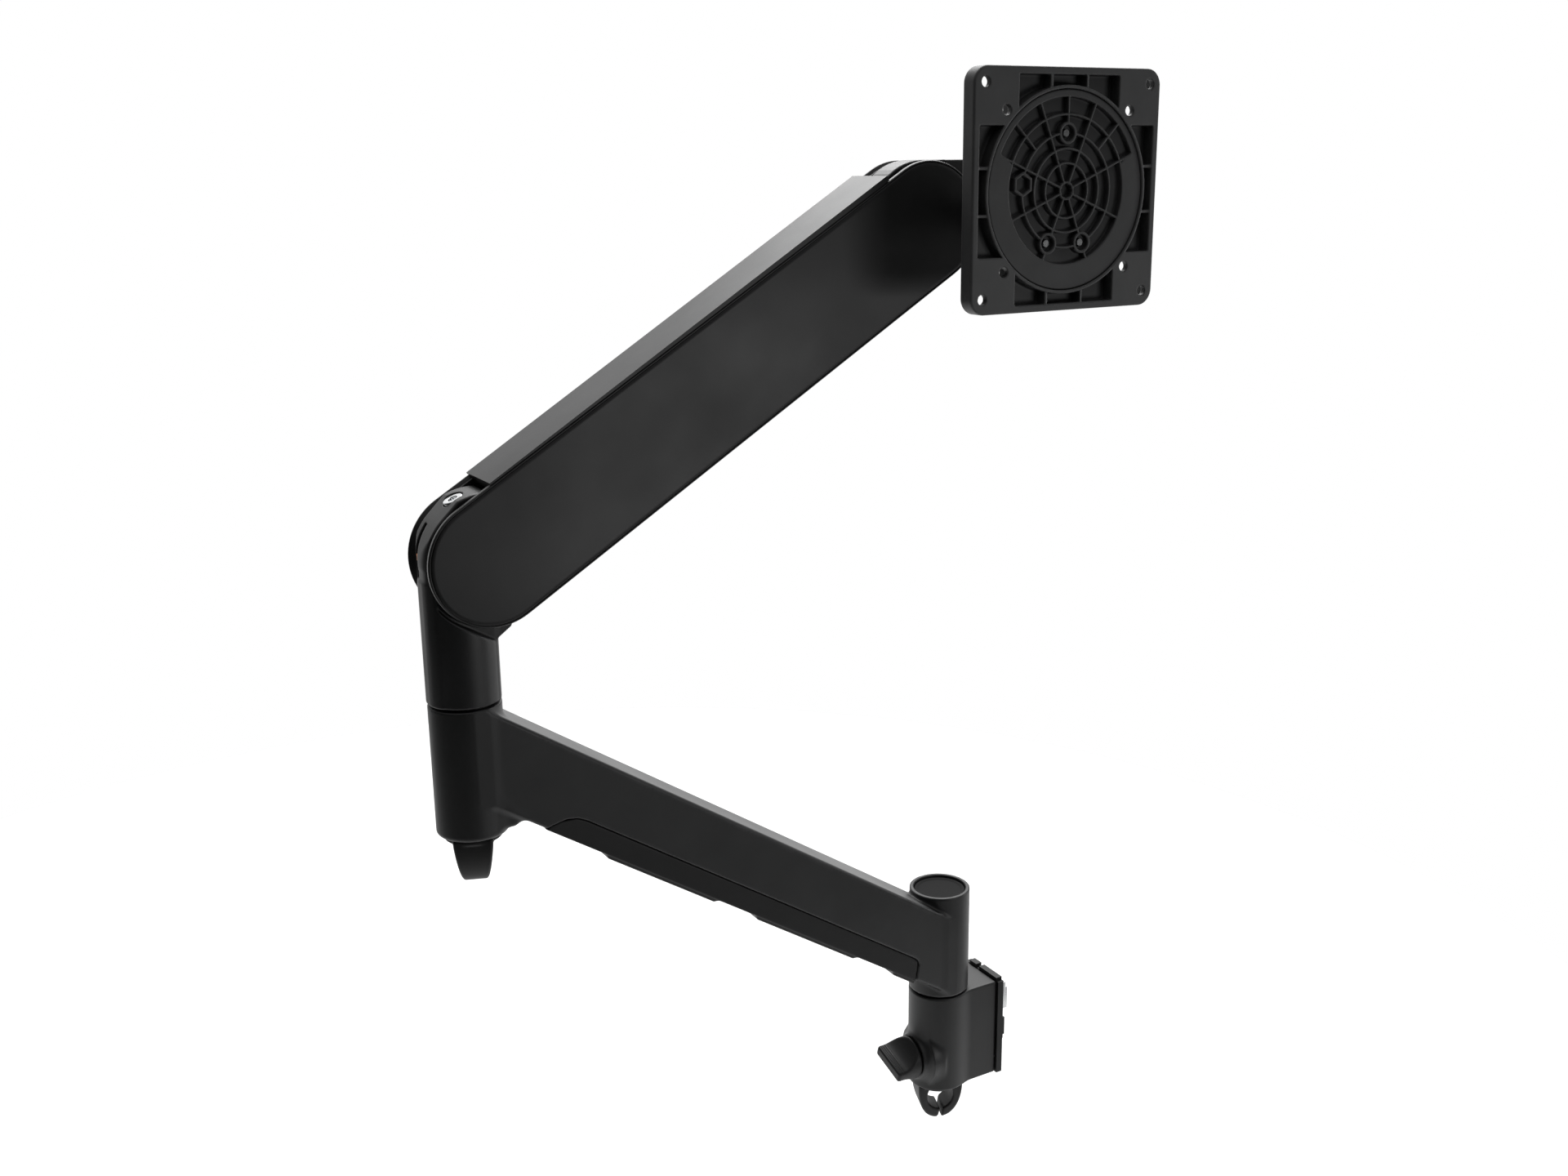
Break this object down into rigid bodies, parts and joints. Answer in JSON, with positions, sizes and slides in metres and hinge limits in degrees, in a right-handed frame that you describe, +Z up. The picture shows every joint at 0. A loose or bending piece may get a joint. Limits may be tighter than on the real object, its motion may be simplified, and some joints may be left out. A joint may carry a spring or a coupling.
{
  "type": "monitor arm",
  "caption": "Rail-mounted monitor arm: sloping lower arm with cable channel, spring-balanced parallel upper arm, tilting and panning head with a square plate.",
  "frame": {"origin": "on the rail contact face of the bracket, at half its height and half its width", "axes": "+Z up, +X outward from the rail along the lower arm, +Y towards the side the monitor plate faces"},
  "size_m": [0.3692, 0.0883, 0.5974],
  "materials": {
    "cast_black": "fine satin black powder coat on an aluminium casting",
    "cover_black": "fine-textured black moulding",
    "plastic_black": "matte black moulding",
    "steel": "turned steel",
    "zinc": "bright zinc plate",
    "bush_white": "natural bearing plastic",
    "pointer_orange": "moulded orange"
  },
  "bodies": {
    "bracket": {"bracket_casting": "cast_black", "back_plate": "plastic_black", "rail_foot": "plastic_black", "back_plate_screw_near": "steel", "back_plate_screw_far": "steel", "base_bushing": "bush_white", "base_thrust_washer": "plastic_black"},
    "rail_nut": {"rail_nut": "zinc"},
    "clamp_screw": {"clamp_screw": "steel"},
    "lock_stud": {"lock_stud": "steel"},
    "lock_knob": {"lock_knob": "plastic_black"},
    "base_clip": {"base_clip": "plastic_black"},
    "lower_arm": {"lower_arm_casting": "cast_black", "base_spindle": "steel", "base_cap": "plastic_black", "elbow_bushing": "bush_white", "elbow_thrust_washer": "plastic_black"},
    "cable_cover": {"cable_cover": "plastic_black"},
    "elbow_clip": {"elbow_clip": "plastic_black"},
    "knuckle": {"elbow_knuckle": "cast_black", "elbow_spindle": "steel", "main_pivot_near": "steel", "main_pivot_far": "steel", "lower_link_pin": "steel"},
    "tension_screw": {"tension_screw": "zinc"},
    "tension_carriage": {"tension_carriage": "steel"},
    "tension_pointer": {"tension_pointer": "pointer_orange"},
    "upper_link": {"upper_channel": "cast_black", "near_cover": "cover_black", "far_cover": "cover_black", "underside_cover": "plastic_black", "spring_seat": "zinc", "balance_spring": "steel"},
    "spring_rod": {"spring_rod": "steel", "spring_end_nut": "zinc"},
    "lower_link": {"lower_link": "cast_black"},
    "head": {"head_knuckle": "cast_black", "head_pivot_near": "steel", "head_pivot_far": "steel", "head_link_pin": "steel", "pan_bolt": "steel"},
    "pan": {"pan_swivel": "cast_black", "friction_washer_left": "bush_white", "friction_washer_right": "bush_white", "tilt_bolt": "steel", "tilt_nut": "steel"},
    "tilt": {"tilt_bracket": "cast_black", "hub_disc": "plastic_black", "hub_screw_1": "zinc", "hub_screw_2": "zinc", "hub_screw_3": "zinc"},
    "plate": {"monitor_plate": "cast_black"}
  },
  "joints": [
    {"name": "clamp_screw_turn", "type": "hinge", "parent": "bracket", "child": "clamp_screw", "pos_m": [0.0125, -0.008, 0.019], "axis": [0, 1, 0], "range_deg": [0, 720]},
    {"name": "rail_nut_slide", "type": "slide", "parent": "bracket", "child": "rail_nut", "axis": [-1, 0, 0], "range_m": [0, 0.002]},
    {"name": "lock_stud_slide", "type": "slide", "parent": "bracket", "child": "lock_stud", "axis": [1, 0, 0], "range_m": [0, 0.002]},
    {"name": "lock_knob_turn", "type": "hinge", "parent": "lock_stud", "child": "lock_knob", "pos_m": [0.06, 0, -0.0115], "axis": [1, 0, 0], "range_deg": [0, 720]},
    {"name": "base_clip_swivel", "type": "hinge", "parent": "bracket", "child": "base_clip", "pos_m": [0.036, 0, -0.03], "axis": [0, 0, 1], "continuous": true},
    {"name": "base_swivel", "type": "hinge", "parent": "bracket", "child": "lower_arm", "pos_m": [0.036, 0, 0.03], "axis": [0, 0, 1], "range_deg": [-90, 90]},
    {"name": "cable_cover_pull", "type": "slide", "parent": "lower_arm", "child": "cable_cover", "axis": [0.549, 0, -0.8358], "range_m": [0, 0.03]},
    {"name": "elbow_clip_swivel", "type": "hinge", "parent": "lower_arm", "child": "elbow_clip", "pos_m": [0.3111, 0, 0.19], "axis": [0, 0, 1], "continuous": true},
    {"name": "elbow_swivel", "type": "hinge", "parent": "lower_arm", "child": "knuckle", "pos_m": [0.3111, 0, 0.25], "axis": [0, 0, 1], "range_deg": [-180, 180]},
    {"name": "tension_screw_turn", "type": "hinge", "parent": "knuckle", "child": "tension_screw", "pos_m": [0.2982, 0, 0.3249], "axis": [0.3907, 0, 0.9205], "range_deg": [-720, 480]},
    {"name": "tension_carriage_slide", "type": "slide", "parent": "knuckle", "child": "tension_carriage", "axis": [0.3907, 0, 0.9205], "range_m": [-0.0013, 0.002]},
    {"name": "tension_pointer_swing", "type": "hinge", "parent": "knuckle", "child": "tension_pointer", "pos_m": [0.2982, 0, 0.3249], "axis": [0, 1, 0], "range_deg": [-26, 16]},
    {"name": "lift", "type": "hinge", "parent": "knuckle", "child": "upper_link", "pos_m": [0.2982, 0, 0.3249], "axis": [0, 1, 0], "range_deg": [-61, 13.5], "deforming": ["balance_spring"]},
    {"name": "spring_rod_swing", "type": "hinge", "parent": "tension_carriage", "child": "spring_rod", "pos_m": [0.30406, 0, 0.33871], "axis": [0, 1, 0], "range_deg": [-59.5, 13.5]},
    {"name": "lower_link_swing", "type": "hinge", "parent": "knuckle", "child": "lower_link", "pos_m": [0.2982, 0, 0.3069], "axis": [0, 1, 0], "range_deg": [-61.2, 13.8]},
    {"name": "head_level", "type": "hinge", "parent": "upper_link", "child": "head", "pos_m": [0.05853, 0, 0.47005], "axis": [0, 1, 0], "range_deg": [-13.8, 61.2]},
    {"name": "pan_swivel_turn", "type": "hinge", "parent": "head", "child": "pan", "pos_m": [0.0162, 0, 0.47005], "axis": [0, 0, 1], "range_deg": [-5, 185]},
    {"name": "tilt_swing", "type": "hinge", "parent": "pan", "child": "tilt", "pos_m": [0.0162, 0.0385, 0.48005], "axis": [1, 0, 0], "range_deg": [-20, 60]},
    {"name": "plate_turn", "type": "hinge", "parent": "tilt", "child": "plate", "pos_m": [0.0162, 0.065, 0.4852], "axis": [0, 1, 0], "range_deg": [-90, 90]}
  ],
  "couplings": [
    {"joint": "clamp_screw_turn", "follows": "rail_nut_slide", "rad_per_m": 6283},
    {"joint": "lock_stud_slide", "follows": "lock_knob_turn", "m_per_rad": 0.00015915},
    {"joint": "tension_screw_turn", "follows": "tension_carriage_slide", "rad_per_m": -6283},
    {"joint": "tension_pointer_swing", "follows": "tension_carriage_slide", "rad_per_m": -188.5},
    {"joint": "spring_rod_swing", "follows": "lift", "ratio": 0.963},
    {"joint": "lower_link_swing", "follows": "lift", "ratio": 1},
    {"joint": "head_level", "follows": "lift", "ratio": -1}
  ]
}
